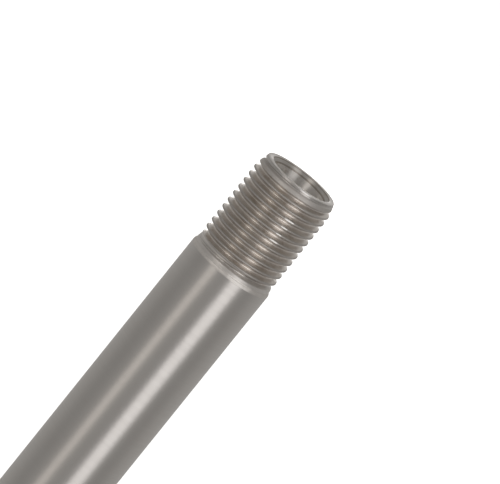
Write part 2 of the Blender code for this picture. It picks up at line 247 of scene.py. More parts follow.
def mark_sharp(mesh, rings):
    """Mark as sharp the edges that lie on the given (radius, height) rings."""
    places = np.empty(len(mesh.vertices) * 3)
    mesh.vertices.foreach_get("co", places)
    x, y, z = places.reshape(-1, 3).T / MM
    on_ring = np.full(len(x), -1)
    for i, (radius, height) in enumerate(rings):
        on_ring[(np.abs(np.hypot(x, y) - radius) < 0.004) & (np.abs(z - height) < 0.0005)] = i
    ends = np.empty(len(mesh.edges) * 2, dtype=np.int32)
    mesh.edges.foreach_get("vertices", ends)
    first, second = on_ring[ends.reshape(-1, 2)].T
    sharp = mesh.attributes.new("sharp_edge", "BOOLEAN", "EDGE")
    sharp.data.foreach_set("value", (first >= 0) & (first == second))


def add_object(name, data):
    """Put a new object in the scene."""
    new = bpy.data.objects.new(name, data)
    bpy.context.scene.collection.objects.link(new)
    return new


def add_piece(name, mesh, material, body, node):
    """Put a mesh in the scene as the fine piece that stands for a node."""
    piece = add_object(name, mesh)
    mesh.materials.append(material)
    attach(piece, body)
    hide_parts(node)
    return piece


def grid_faces(rows, columns):
    """Quads between neighbouring rows of a grid whose rows have columns + 1 points."""
    width = columns + 1
    starts = (np.arange(rows - 1)[:, None] * width + np.arange(columns)).ravel()
    return np.column_stack([starts, starts + width, starts + width + 1, starts + 1]).tolist()


def fillet(points, radius, closed, steps=4):
    """Round the corners of a profile, with guard points that keep its flats flat."""
    result = []
    for i, point in enumerate(points):
        here = Vector(point)
        if not closed and i in (0, len(points) - 1):
            result.append(here)
            continue
        before = Vector(points[i - 1]) - here
        after = Vector(points[(i + 1) % len(points)]) - here
        bend = math.pi - before.angle(after)
        reach = min(radius * math.tan(bend / 2), 0.3 * before.length, 0.3 * after.length)
        if bend < math.radians(12):
            result.append(here)
            continue
        start, end = here + before.normalized() * reach, here + after.normalized() * reach
        guard = 0.5 * reach
        result.append(start + before.normalized() * guard)
        for k in range(steps + 1):
            t = k / steps
            result.append(start * (1 - t) ** 2 + here * (2 * t * (1 - t)) + end * t**2)
        result.append(end + after.normalized() * guard)
    return [tuple(p) for p in result]


def lathe(name, profile, columns=96, x=0.0, closed=True, shape=None):
    """Turn a profile of (radius, height) about a vertical axis at x.

    shape(radius, theta, z) may return a radius that varies round the axis.
    """
    profile = np.array(profile + profile[:1] if closed else profile)
    theta = np.linspace(0.0, math.tau, columns + 1)
    radius = np.repeat(profile[:, :1], columns + 1, axis=1)
    z = np.repeat(profile[:, 1:], columns + 1, axis=1)
    if shape is not None:
        radius = shape(radius, theta, z)
    verts = np.stack([x + radius * np.cos(theta), radius * np.sin(theta), z], axis=-1)
    return finish_mesh(name, verts.reshape(-1, 3), grid_faces(len(profile), columns))


def ring_profile(outer_r, inner_r, low, high, edge):
    """Closed profile of a plain ring or sleeve with rounded edges."""
    return fillet([(outer_r, high), (outer_r, low), (inner_r, low), (inner_r, high)], edge, True)


def rounded_end(outer_r, low, round_r, count):
    """Quarter round of an open profile, from the side of a lower end to its flat."""
    return [
        (outer_r - round_r * (1 - math.cos(a)), low + round_r * (1 - math.sin(a)))
        for a in np.linspace(0.0, math.pi / 2, count)
    ]


def sweep(path, radius, sides=16, dome=None):
    """Vertices and faces of a round wire along a path, with domed ends."""
    path = np.asarray(path, dtype=float)
    dome = radius if dome is None else dome
    length = np.concatenate([[0.0], np.cumsum(np.linalg.norm(np.diff(path, axis=0), axis=1))])
    angles = np.linspace(0.0, math.pi / 2, 6)
    inset = dome * (1 - np.cos(angles))
    middle = length[(length > dome * 1.05) & (length < length[-1] - dome * 1.05)]
    stations = np.concatenate([inset, middle, length[-1] - inset[::-1]])
    share = np.concatenate([np.sin(angles), np.ones(len(middle)), np.sin(angles[::-1])])
    points = np.column_stack([np.interp(stations, length, path[:, i]) for i in range(3)])
    ahead = np.gradient(points, axis=0)
    ahead /= np.linalg.norm(ahead, axis=1)[:, None]
    side = np.cross(ahead[0], (0.3, 0.9, 0.2))
    theta = np.linspace(0.0, math.tau, sides + 1)
    rings = []
    for point, forward, scale in zip(points, ahead, share):
        side = side - forward * np.dot(side, forward)
        side /= np.linalg.norm(side)
        up = np.cross(forward, side)
        ring = np.outer(np.cos(theta), side) + np.outer(np.sin(theta), up)
        rings.append(point + ring * radius * scale)
    return np.concatenate(rings), grid_faces(len(points), sides)


def join_parts(parts):
    """Join several (vertices, faces) pairs into one pair."""
    verts, faces, start = [], [], 0
    for part_verts, part_faces in parts:
        verts.append(part_verts)
        faces += [[corner + start for corner in face] for face in part_faces]
        start += len(part_verts)
    return np.concatenate(verts), faces


def drilled(mesh, radius, bottom, top, flare=0.12):
    """Cut the two wire holes through a mesh, with broken edges at both ends.

    The drills run past both ends, and slivers left along the cuts are closed up.
    """
    host = add_object(mesh.name, mesh)
    drills = []
    wide = radius + 1.3 * flare
    entry = [(wide, 0.5), (wide, 0.3 * flare), (radius, -flare)]
    profile = [
        (0.0, bottom - 0.5),
        *((r, bottom - outside) for r, outside in entry),
        *((r, top + outside) for r, outside in reversed(entry)),
        (0.0, top + 0.5),
    ]
    for number, node in enumerate(("positive_lead", "negative_lead")):
        name = f"drill_{number}"
        drill = add_object(name, lathe(name, profile, 48, extent(node)[0], closed=False))
        boolean = host.modifiers.new(f"hole_{number}", "BOOLEAN")
        boolean.operation = "DIFFERENCE"
        boolean.solver = "EXACT"
        boolean.object = drill
        drills.append(drill)
    cut = host.evaluated_get(bpy.context.evaluated_depsgraph_get())
    result = bpy.data.meshes.new_from_object(cut)
    for obj in (host, *drills):
        bpy.data.objects.remove(obj)
    body = bmesh.new()
    body.from_mesh(result)
    bmesh.ops.remove_doubles(body, verts=body.verts, dist=SLIVER * MM)
    flat = math.radians(0.5)
    bmesh.ops.dissolve_limit(body, angle_limit=flat, verts=body.verts, edges=body.edges)
    bmesh.ops.triangulate(body, faces=body.faces, ngon_method="BEAUTY")
    body.to_mesh(result)
    body.free()
    result.shade_smooth()
    result.set_sharp_from_angle(angle=math.radians(28))
    return result


class Nodes:
    """Short way to write a node material."""

    def __init__(self, name):
        self.material = bpy.data.materials.new(name)
        self.material.use_nodes = True
        self.tree = self.material.node_tree
        self.shader = self.tree.nodes["Principled BSDF"]

    def add(self, kind, **values):
        """Add a node, set its attributes, and return it."""
        node = self.tree.nodes.new(kind)
        for key, value in values.items():
            setattr(node, key, value)
        return node

    def wire(self, source, target):
        """Link an output to an input, or set the input to a value."""
        if isinstance(source, (int, float, tuple)):
            target.default_value = source
        else:
            self.tree.links.new(source, target)

    def math(self, operation, a, b=0.0, clamp=False):
        """Return the output of a math node."""
        node = self.add("ShaderNodeMath", operation=operation, use_clamp=clamp)
        self.wire(a, node.inputs[0])
        self.wire(b, node.inputs[1])
        return node.outputs[0]

    def both(self, *masks):
        """Return the product of masks."""
        result = masks[0]
        for mask in masks[1:]:
            result = self.math("MULTIPLY", result, mask)
        return result

    def ramp(self, value, low, high, start=0.0, end=1.0):
        """Map a value from low..high to start..end, clamped, with smooth ends."""
        node = self.add("ShaderNodeMapRange", interpolation_type="SMOOTHSTEP")
        limits = {"From Min": low, "From Max": high, "To Min": start, "To Max": end}
        for key, number in limits.items():
            self.wire(number, node.inputs[key])
        self.wire(value, node.inputs["Value"])
        return node.outputs["Result"]

    def band(self, value, middle, half, soft):
        """Return 1 within a band of values and 0 outside it."""
        away = self.math("ABSOLUTE", self.math("SUBTRACT", value, middle))
        return self.ramp(away, half + soft, half)

    def place(self, x_axis=0.0):
        """Return x, y, z of the point in millimetres, and its distance from a vertical axis."""
        coordinate = self.add("ShaderNodeTexCoord")
        split = self.add("ShaderNodeSeparateXYZ")
        self.wire(coordinate.outputs["Object"], split.inputs[0])
        x, y, z = (self.math("MULTIPLY", split.outputs[i], 1 / MM) for i in range(3))
        x = self.math("SUBTRACT", x, x_axis)
        square = self.math("ADD", self.math("MULTIPLY", x, x), self.math("MULTIPLY", y, y))
        return x, y, z, self.math("SQRT", square)

    def vector(self, x, y, z):
        """Join three values into a vector."""
        node = self.add("ShaderNodeCombineXYZ")
        for value, target in zip((x, y, z), node.inputs):
            self.wire(value, target)
        return node.outputs[0]

    def stretched(self, x, y, z, across, along):
        """Vector for a noise that is coarse across the axis and fine along it, or the reverse."""
        return self.vector(
            self.math("MULTIPLY", x, across),
            self.math("MULTIPLY", y, across),
            self.math("MULTIPLY", z, along),
        )

    def noise(self, vector, scale=1.0, detail=2.0, roughness=0.5):
        """Return a noise value of about 0.5 on average."""
        node = self.add("ShaderNodeTexNoise")
        self.wire(vector, node.inputs["Vector"])
        self.wire(scale, node.inputs["Scale"])
        self.wire(detail, node.inputs["Detail"])
        self.wire(roughness, node.inputs["Roughness"])
        return node.outputs["Fac"]

    def mix(self, factor, a, b):
        """Mix two colours, each a node output or three numbers."""
        node = self.add("ShaderNodeMix", data_type="RGBA")
        self.wire(factor, node.inputs["Factor"])
        for color, target in ((a, node.inputs["A"]), (b, node.inputs["B"])):
            self.wire((*color, 1.0) if isinstance(color, tuple) else color, target)
        return node.outputs["Result"]

    def set(self, **values):
        """Set inputs of the shader; an underscore in a name stands for a space."""
        for key, value in values.items():
            self.wire(value, self.shader.inputs[key.replace("_", " ")])

    def brushed(self):
        """Point the shader's tangent round the axis, so that the gloss spreads along it."""
        tangent = self.add("ShaderNodeTangent", direction_type="RADIAL", axis="Z")
        self.set(Tangent=tangent.outputs[0], Anisotropic_Rotation=0.25)

    def bump(self, height, distance, strength=1.0):
        """Drive the shader's normal from a height, with its scale in millimetres."""
        node = self.add("ShaderNodeBump")
        self.wire(height, node.inputs["Height"])
        node.inputs["Distance"].default_value = distance * MM
        node.inputs["Strength"].default_value = strength
        self.set(Normal=node.outputs[0])


def ground_steel():
    """Stainless steel: ground tube, turned cone, thread roots with a painted highlight, dull crests
    with painted shade, bore painted light.
    """
    nodes = Nodes("ground_steel")
    x, y, z, radius = nodes.place()
    along = nodes.math("ADD", z, nodes.math("MULTIPLY", radius, RING_SPREAD))
    fine = nodes.noise(nodes.stretched(x, y, along, 0.05, 9.0), 1.0, 3.0, 0.6)
    broad = nodes.noise(nodes.vector(x, y, z), 0.35, 3.0, 0.5)
    spots = nodes.noise(nodes.vector(x, y, z), 2.2, 4.0, 0.6)
    patchy = nodes.noise(nodes.stretched(x, y, z, 0.7, 1.6), 1.0, 4.0, 0.65)

    # Outer and inner side of the wall, and the front side of the tube, where the painted highlights
    # on the lip and the cone's foot lie
    outside = nodes.ramp(radius, 3.95, 4.1)
    inside = nodes.ramp(radius, 3.95, 3.7)
    front = nodes.ramp(y, 0.5, -0.5)

    # Thread: roots, lower flanks, crests, lead-in and run-out
    on_thread = nodes.both(
        nodes.ramp(z, -11.25, -11.0), outside, nodes.ramp(z, -0.32, -0.42)
    )
    in_groove = nodes.both(nodes.ramp(radius, 4.78, 4.60), nodes.ramp(z, -0.5, -1.0), on_thread)
    slope = nodes.add("ShaderNodeSeparateXYZ")
    nodes.wire(nodes.add("ShaderNodeTexCoord").outputs["Normal"], slope.inputs[0])
    # Lower flanks that face down are painted darker: painted shade under each turn of the thread.
    facing_down = nodes.ramp(slope.outputs["Z"], -0.35, -0.75)
    painted_shade_under_turn = nodes.both(facing_down, on_thread, nodes.ramp(radius, 4.25, 4.45))
    on_crest = nodes.both(nodes.ramp(radius, 4.70, 4.80), on_thread)
    on_lead_in = nodes.both(nodes.band(z, -0.75, 0.30, 0.08), outside)
    on_relief = nodes.both(nodes.band(z, -11.52, 0.26, 0.06), outside)

    # Foot of the run-out cone, which carries lathe chatter in its bump, and a painted highlight on
    # one part of its front
    on_cone = nodes.both(nodes.band(z, -12.03, 0.21, 0.03), outside)
    painted_cone_highlight = nodes.both(nodes.band(x, 1.7, 1.2, 0.4), front, on_cone)

    # Mouth: end face with a painted highlight on its front right part, countersink, a dark line
    # along its upper edge and painted shade along its lower edge
    on_lip = nodes.both(nodes.ramp(z, -0.32, -0.26), outside)
    painted_lip_sheen = nodes.both(nodes.band(x, 1.3, 1.0, 0.8), front, on_lip)
    on_countersink = nodes.both(nodes.ramp(z, -MOUTH_DEPTH - 0.01, -MOUTH_DEPTH), inside)
    upper_rim = nodes.both(
        nodes.band(radius, MOUTH_R - 0.03, 0.03, 0.03), nodes.ramp(z, -0.3, -0.1)
    )
    # Dark band at the foot of the countersink: painted shade under its step.
    painted_rim_shadow = nodes.both(nodes.band(z, -MOUTH_DEPTH - 0.02, 0.06, 0.04), inside)
    rim_line_and_shadow = nodes.math("MAXIMUM", upper_rim, painted_rim_shadow)

    # Heat tint beside the weld, and painted shade in patches in the roots and the bore
    tint = nodes.band(z, TUBE_BOTTOM, 1.0, 1.6)
    root_and_bore = nodes.math("MAXIMUM", in_groove, inside)
    patchy_hollow_shade = nodes.both(nodes.ramp(patchy, 0.52, 0.66), root_and_bore)

    # Knocked flats: a patch on each crest, on their side of the tube only; the real flats are
    # painted lighter too, a painted highlight on them
    east, north = math.cos(KNOCK_ANGLE), math.sin(KNOCK_ANGLE)
    facing = nodes.math("ADD", nodes.math("MULTIPLY", x, east), nodes.math("MULTIPLY", y, north))
    beside = nodes.math(
        "SUBTRACT", nodes.math("MULTIPLY", y, east), nodes.math("MULTIPLY", x, north)
    )
    knock = 0.0
    for height, depth in KNOCKS:
        width = 0.8 * math.sqrt(2 * CREST_R * depth)
        across = nodes.band(beside, 0.0, width, 0.2)
        patch = nodes.both(nodes.band(z, height + 0.05, 0.13, 0.05), across)
        knock = nodes.math("MAXIMUM", knock, patch)
    knock = nodes.both(knock, nodes.ramp(facing, 4.0, 4.4))

    # Colours, from the plain tube to the zones that cover it
    color = nodes.mix(broad, (0.520, 0.497, 0.478), (0.545, 0.528, 0.510))
    color = nodes.mix(nodes.math("MULTIPLY", fine, 0.25), color, (0.46, 0.44, 0.42))
    uneven = nodes.ramp(broad, 0.35, 0.6, 0.55, 1.0)
    for where, share, dark, light in (
        # Roots painted lighter than the tube: a painted highlight along the thread roots.
        (in_groove, 1.0, (0.59, 0.55, 0.51), (0.74, 0.70, 0.665)),
        # Crests painted darker than the tube: painted shade along the crests.
        (on_crest, 1.0, (0.42, 0.395, 0.37), (0.50, 0.475, 0.455)),
        (painted_shade_under_turn, 0.5, (0.34, 0.315, 0.285), (0.46, 0.43, 0.40)),
        # Knocked flats painted lighter: a painted highlight on the real flats.
        (knock, 1.0, (0.62, 0.60, 0.58), (0.74, 0.725, 0.71)),
        (on_lead_in, 1.0, (0.48, 0.455, 0.43), (0.57, 0.545, 0.525)),
        (on_lip, 1.0, (0.46, 0.435, 0.41), (0.59, 0.57, 0.55)),
        # Front right part of the lip painted lighter: a painted highlight.
        (painted_lip_sheen, 1.0, (0.62, 0.595, 0.57), (0.66, 0.64, 0.62)),
        (on_relief, 0.9, (0.54, 0.515, 0.49), (0.68, 0.655, 0.63)),
        (on_cone, uneven, (0.55, 0.525, 0.50), (0.70, 0.67, 0.64)),
        # Front part of the cone's foot painted much lighter: a painted highlight.
        (painted_cone_highlight, 0.85, (0.68, 0.65, 0.62), (0.90, 0.87, 0.84)),
        # Bore painted near white: painted light inside the deep bore.
        (inside, 1.0, (0.78, 0.74, 0.70), (0.97, 0.945, 0.92)),
        (on_countersink, 1.0, (0.56, 0.53, 0.50), (0.66, 0.635, 0.61)),
        # Brown patches in the roots and the bore: painted shade.
        (patchy_hollow_shade, 0.45, (0.40, 0.34, 0.28), (0.52, 0.46, 0.40)),
        # Dark line along the lip's inner edge, and painted shade at the foot of the countersink.
        (rim_line_and_shadow, 0.7, (0.28, 0.24, 0.20), (0.34, 0.29, 0.24)),
        (tint, 0.55, (0.46, 0.36, 0.24), (0.52, 0.43, 0.30)),
    ):
        shade = nodes.mix(spots, dark, light)
        color = nodes.mix(nodes.math("MULTIPLY", where, share), color, shade)

    # Roughness, and how far the gloss spreads along the axis
    rough = nodes.ramp(fine, 0.3, 0.7, 0.36, 0.42)
    brush = 0.8
    for where, duller, evener in (
        (in_groove, -0.06, 0.0),
        (on_thread, 0.0, 0.4),
        (on_crest, 0.16, 0.0),
        (knock, -0.17, 0.0),
        (on_lead_in, 0.24, 0.0),
        (on_lip, 0.08, 0.0),
        (painted_lip_sheen, -0.17, 0.0),
        (on_relief, 0.10, 0.3),
        (on_cone, 0.14, 0.5),
        (inside, 0.11, -0.16),
    ):
        rough = nodes.math("ADD", rough, nodes.math("MULTIPLY", where, duller))
        brush = nodes.math("SUBTRACT", brush, nodes.math("MULTIPLY", where, evener))
    nodes.set(Base_Color=color, Metallic=1.0, Roughness=rough, Anisotropic=brush)
    nodes.brushed()
    chatter = nodes.noise(nodes.stretched(x, y, z, 0.9, 5.0), 1.0, 2.0, 0.5)
    chatter = nodes.math("MULTIPLY", nodes.both(on_cone, chatter), 6.0)
    nodes.bump(nodes.math("ADD", fine, chatter), 0.004, 0.6)
    return nodes.material


def worked_metal(name, dark, light, roughness, marks="round", x_axis=0.0, gloss=0.7, relief=0.004):
    """Metal with fine working marks round its axis, along it, or in no direction."""
    nodes = Nodes(name)
    x, y, z, radius = nodes.place(x_axis)
    across, along = {"round": (0.08, 12.0), "drawn": (14.0, 0.12), "cast": (5.0, 5.0)}[marks]
    spread = RING_SPREAD if marks == "round" else 0.0
    rings = nodes.math("ADD", z, nodes.math("MULTIPLY", radius, spread))
    fine = nodes.noise(nodes.stretched(x, y, rings, across, along), 1.0, 3.0, 0.6)
    broad = nodes.noise(nodes.vector(x, y, z), 0.8, 3.0, 0.55)
    color = nodes.mix(nodes.ramp(broad, 0.3, 0.7), dark, light)
    worked = tuple(0.8 * channel for channel in dark)
    color = nodes.mix(nodes.math("MULTIPLY", fine, 0.3), color, worked)
    rough = nodes.math("ADD", roughness - 0.05, nodes.math("MULTIPLY", fine, 0.1))
    nodes.set(Base_Color=color, Metallic=1.0, Roughness=rough)
    if marks == "round":
        nodes.set(Anisotropic=gloss)
        nodes.brushed()
    nodes.bump(fine, relief, 0.6)
    return nodes.material


def weld_metal():
    """Dressed weld bead with straw to blue heat colours."""
    nodes = Nodes("weld_metal")
    x, y, z, _ = nodes.place()
    grain = nodes.noise(nodes.vector(x, y, z), 6.0, 4.0, 0.6)
    broad = nodes.noise(nodes.vector(x, y, z), 0.7, 2.0, 0.5)
    straw = nodes.mix(nodes.ramp(broad, 0.35, 0.65), (0.46, 0.38, 0.27), (0.40, 0.36, 0.36))
    color = nodes.mix(nodes.band(z, TUBE_BOTTOM, 0.2, 0.3), (0.30, 0.29, 0.36), straw)
    nodes.set(Base_Color=color, Metallic=1.0, Roughness=nodes.ramp(grain, 0.3, 0.7, 0.34, 0.5))
    nodes.bump(grain, 0.01, 0.7)
    return nodes.material


def ceramic(name, low, high, roughness, grain_size, relief, subsurface):
    """Fired or pressed ceramic with a fine grain."""
    nodes = Nodes(name)
    x, y, z, _ = nodes.place()
    grain = nodes.noise(nodes.vector(x, y, z), grain_size, 5.0, 0.65)
    cloud = nodes.noise(nodes.vector(x, y, z), 0.9, 2.0, 0.5)
    color = nodes.mix(nodes.ramp(cloud, 0.3, 0.7), low, high)
    pore = tuple(0.6 * channel for channel in low)
    color = nodes.mix(nodes.ramp(grain, 0.62, 0.8, 0.0, 0.35), color, pore)
    rough = nodes.ramp(grain, 0.3, 0.7, roughness - 0.06, roughness + 0.06)
    nodes.set(Base_Color=color, Roughness=rough)
    nodes.set(Subsurface_Weight=subsurface, Subsurface_Radius=(0.4 * MM, 0.35 * MM, 0.3 * MM))
    nodes.bump(grain, relief, 0.7)
    return nodes.material


def potting_resin():
    """Dark casting resin with a glossy skin and small craters."""
    nodes = Nodes("potting_resin")
    x, y, z, _ = nodes.place()
    cloud = nodes.noise(nodes.vector(x, y, z), 1.4, 3.0, 0.5)
    pits = nodes.noise(nodes.vector(x, y, z), 4.0, 2.0, 0.4)
    nodes.set(Base_Color=nodes.mix(cloud, (0.030, 0.030, 0.034), (0.060, 0.056, 0.054)))
    nodes.set(Roughness=nodes.ramp(cloud, 0.3, 0.7, 0.22, 0.4), Coat_Weight=0.3)
    nodes.bump(nodes.ramp(pits, 0.7, 0.6), 0.02, 0.5)
    return nodes.material


def braided(name, x_axis, thread, gap):
    """Glass fibre braid round a wire: two sets of crossing yarns in a colour."""
    nodes = Nodes(name)
    x, y, z, _ = nodes.place(x_axis)
    angle = nodes.math("ARCTAN2", y, x)
    turns = nodes.math("MULTIPLY", angle, BRAID_YARNS)
    rise = nodes.math("MULTIPLY", z, BRAID_RISE)
    right = nodes.math("SINE", nodes.math("ADD", turns, rise))
    left = nodes.math("SINE", nodes.math("SUBTRACT", turns, rise))
    over = nodes.math("GREATER_THAN", nodes.math("SINE", nodes.math("MULTIPLY", turns, 2.0)), 0.0)
    high = nodes.math("MAXIMUM", right, left)
    under = nodes.math("SUBTRACT", 1.0, over)
    low = nodes.math("MAXIMUM", nodes.both(right, over), nodes.both(left, under))
    weave = nodes.math("ADD", nodes.math("MULTIPLY", high, 0.6), nodes.math("MULTIPLY", low, 0.4))
    fuzz = nodes.noise(nodes.vector(x, y, z), 9.0, 3.0, 0.6)
    # Low parts of the weave take the darker gap colour: painted shade between the yarns.
    color = nodes.mix(nodes.ramp(weave, -0.2, 0.6), gap, thread)
    fibre = tuple(min(1.0, 1.5 * channel) for channel in gap)
    color = nodes.mix(nodes.math("MULTIPLY", fuzz, 0.3), color, fibre)
    rough = nodes.ramp(fuzz, 0.3, 0.7, 0.5, 0.75)
    nodes.set(Base_Color=color, Roughness=rough, Sheen_Weight=0.15)
    nodes.bump(nodes.math("ADD", weave, nodes.math("MULTIPLY", fuzz, 0.4)), 0.03, 0.8)
    return nodes.material


def build_tube():
    """Protection tube: helical grid over the thread, rings everywhere else."""
    bottom = TUBE_BOTTOM
    groove_low, groove_high = RING_MIDDLE - GROOVE_HALF, RING_MIDDLE + GROOVE_HALF
    theta = np.linspace(0.0, math.tau, COLUMNS + 1)
    step = PITCH / ROWS_PER_PITCH
    top_z = -step / 2
    low_z = -THREAD_ROWS * step
    count = int((top_z - low_z) / step) + 2 + ROWS_PER_PITCH
    z = top_z - np.arange(count)[:, None] * step + PITCH * theta / math.tau
    z = np.clip(z, low_z, top_z)
    radius = thread_radius(np.broadcast_to(theta, z.shape), z)

    # Cone with its softened foot, then the plain tube down to the weld
    rings = [(cone_radius(h), h) for h in CONE_ROWS]
    rings += [
        (TUBE_R - 0.010, CONE_END_Z + 0.025),
        (TUBE_R - 0.002, CONE_END_Z),
        (TUBE_R, CONE_END_Z - 0.03),
        (TUBE_R, CONE_END_Z - 0.5),
        (TUBE_R, (CONE_END_Z + bottom) / 2),
        (TUBE_R, bottom + WELD_HALF + 0.5),
        (TUBE_R, bottom + WELD_HALF),
        (TUBE_R - WELD_DEPTH, bottom),
    ]
    # Up the bore, and round the groove of the snap ring
    rings += [
        (BORE_R, bottom),
        (BORE_R, bottom + 1.0),
        (BORE_R, (bottom + RING_MIDDLE) / 2),
        (BORE_R, groove_low - 0.3),
        (BORE_R, groove_low),
        (GROOVE_R, groove_low),
        (GROOVE_R, groove_high),
        (BORE_R, groove_high),
        (BORE_R, groove_high + 0.3),
        (BORE_R, -MOUTH_DEPTH - 1.0),
    ]
    # Countersink and end face, with their edges softened
    rings += [
        (BORE_R, -MOUTH_DEPTH - 0.06),
        (BORE_R + 0.008, -MOUTH_DEPTH - 0.02),
        (BORE_R + 0.03, -MOUTH_DEPTH + 0.03),
        (MOUTH_R - 0.045, -0.07),
        (MOUTH_R - 0.010, -0.025),
        (MOUTH_R + 0.025, -0.004),
        (MOUTH_R + 0.07, 0.0),
        (FACE_R - 0.13, 0.0),
        (FACE_R - 0.085, -0.0005),
        (FACE_R - 0.045, -0.005),
    ]
    rings = np.array(rings)
    width = COLUMNS + 1
    radius = np.concatenate([radius, np.repeat(rings[:, :1], width, axis=1), radius[:1]])
    z = np.concatenate([z, np.repeat(rings[:, 1:], width, axis=1), z[:1] * 0 + top_z])
    verts = np.stack([radius * np.cos(theta), radius * np.sin(theta), z], axis=-1).reshape(-1, 3)
    mesh = finish_mesh("tube_surface", verts, grid_faces(len(z), COLUMNS))
    sharp = [
        (TUBE_R, bottom + WELD_HALF),
        (TUBE_R - WELD_DEPTH, bottom),
        (BORE_R, bottom),
        (BORE_R, groove_low),
        (GROOVE_R, groove_low),
        (GROOVE_R, groove_high),
        (BORE_R, groove_high),
    ]
    mark_sharp(mesh, sharp)
    add_piece("tube_surface", mesh, ground_steel(), "tube", "protection_tube")


def build_tip():
    """Tip plug with its spigot, and the dressed weld that closes the tube."""
    _, _, low, high = extent("tip_plug")
    shoulder = TUBE_BOTTOM - FIT_GAP
    spigot_r = BORE_R - PLUG_PLAY
    end = rounded_end(TUBE_R, low, PLUG_END_ROUND, 13)
    profile = [
        (0.0, high),
        (spigot_r, high),
        (spigot_r, shoulder),
        (TUBE_R - WELD_DEPTH, shoulder),
        (TUBE_R, shoulder - WELD_HALF),
        (TUBE_R, shoulder - WELD_HALF - 0.3),
        (1.0, 0.0),
    ]
    profile = fillet(profile, 0.25, False)[:-1]
    profile = [point for point in profile if point[1] > end[0][1] + 0.05]
    mesh = lathe("plug_surface", [*profile, *end, (1.2, low), (0.0, low)], COLUMNS, closed=False)
    steel = worked_metal("plug_steel", (0.49, 0.46, 0.43), (0.56, 0.535, 0.51), 0.38)
    add_piece("plug_surface", mesh, steel, "tube", "tip_plug")

    def ripple(radius, theta, z):
        """Overlapping weld ripples on the outer face, dressed nearly flush."""
        outer = np.clip((radius - (TUBE_R - 0.25)) / 0.25, 0.0, 1.0)
        phase = WELD_RIPPLES * theta + 3.0 * ((z - middle) / WELD_HALF) ** 2
        phase = phase + 0.5 * np.sin(5 * theta)
        relief = 0.012 * np.abs(np.sin(phase / 2)) + 0.008 * np.sin(3 * theta + 1.0)
        return radius + outer * relief

    middle = (TUBE_BOTTOM + shoulder) / 2
    crown = [
        (TUBE_R + 0.045 * (1 - t * t) - 0.004, middle + t * (WELD_HALF - 0.01))
        for t in np.linspace(1, -1, 17)
    ]
    root_r = TUBE_R - WELD_DEPTH + 0.02
    profile = [
        *crown,
        (TUBE_R - 0.12, middle - WELD_HALF + 0.07),
        (root_r, middle - 0.012),
        (root_r, middle + 0.012),
        (TUBE_R - 0.12, middle + WELD_HALF - 0.07),
    ]
    mesh = lathe("weld_bead", profile, 8 * WELD_RIPPLES, shape=ripple)
    add_piece("weld_bead", mesh, weld_metal(), "tube", "closing_weld")


def build_insert_metal():
    """Sheath, tip cap, transition sleeve and washer of the insert."""
    _, radius, low, high = extent("insert_sheath")
    drawn = worked_metal("sheath_steel", (0.47, 0.45, 0.43), (0.55, 0.53, 0.51), 0.36, "drawn")
    mesh = lathe("sheath_surface", ring_profile(radius, SHEATH_BORE_R, low, high, 0.08))
    add_piece("sheath_surface", mesh, drawn, "insert", "insert_sheath")

    sheath_bore, flange = radius + FIT_GAP, low - FIT_GAP
    _, cap_r, low, high = extent("insert_tip_cap")
    spigot_r = SHEATH_BORE_R - FIT_GAP
    end = rounded_end(cap_r, low, CAP_ROUND, 11)
    profile = [
        (0.0, high),
        (spigot_r, high),
        (spigot_r, flange),
        (cap_r, flange),
        (cap_r, flange - 0.3),
        (1.0, 0.0),
    ]
    profile = fillet(profile, 0.08, False)[:-1]
    profile = [point for point in profile if point[1] > end[0][1] + 0.02]
    mesh = lathe("cap_surface", [*profile, *end, (0.6, low), (0.0, low)], closed=False)
    welded = worked_metal("cap_steel", (0.42, 0.38, 0.33), (0.50, 0.47, 0.44), 0.42)
    add_piece("cap_surface", mesh, welded, "insert", "insert_tip_cap")

    _, radius, low, high = extent("transition_sleeve")
    outer = [(radius, high)]
    for middle in CRIMP_HEIGHTS:
        outer += [
            (radius, low + middle + CRIMP_HALF),
            (radius - CRIMP_DEPTH, low + middle + CRIMP_FLAT_HALF),
            (radius - CRIMP_DEPTH, low + middle - CRIMP_FLAT_HALF),
            (radius, low + middle - CRIMP_HALF),
        ]
    resin_bore = POTTING_R + FIT_GAP
    outer += [
        (radius, low),
        (sheath_bore, low),
        (sheath_bore, SLEEVE_STEP),
        (resin_bore, SLEEVE_STEP),
        (resin_bore, high),
    ]

    def crimp(radius, theta, z):
        """Jaw marks pressed a little deeper in each crimp groove."""
        pressed = sum(np.exp(-(((z - low - middle) / 0.25) ** 2)) for middle in CRIMP_HEIGHTS)
        deep = 0.05 * pressed * (0.5 + 0.5 * np.cos(CRIMP_JAWS * theta)) ** 2
        return np.where(radius > sheath_bore + 0.35, radius - deep, radius)

    turned = worked_metal("sleeve_steel", (0.53, 0.51, 0.49), (0.62, 0.605, 0.585), 0.3)
    mesh = lathe("sleeve_surface", fillet(outer, 0.14, True), 128, shape=crimp)
    add_piece("sleeve_surface", mesh, turned, "insert", "transition_sleeve")

    _, radius, low, high = extent("seat_washer")
    mesh = lathe("washer_surface", ring_profile(radius, WASHER_BORE_R, low, high, 0.12))
    add_piece("washer_surface", mesh, turned, "insert", "seat_washer")


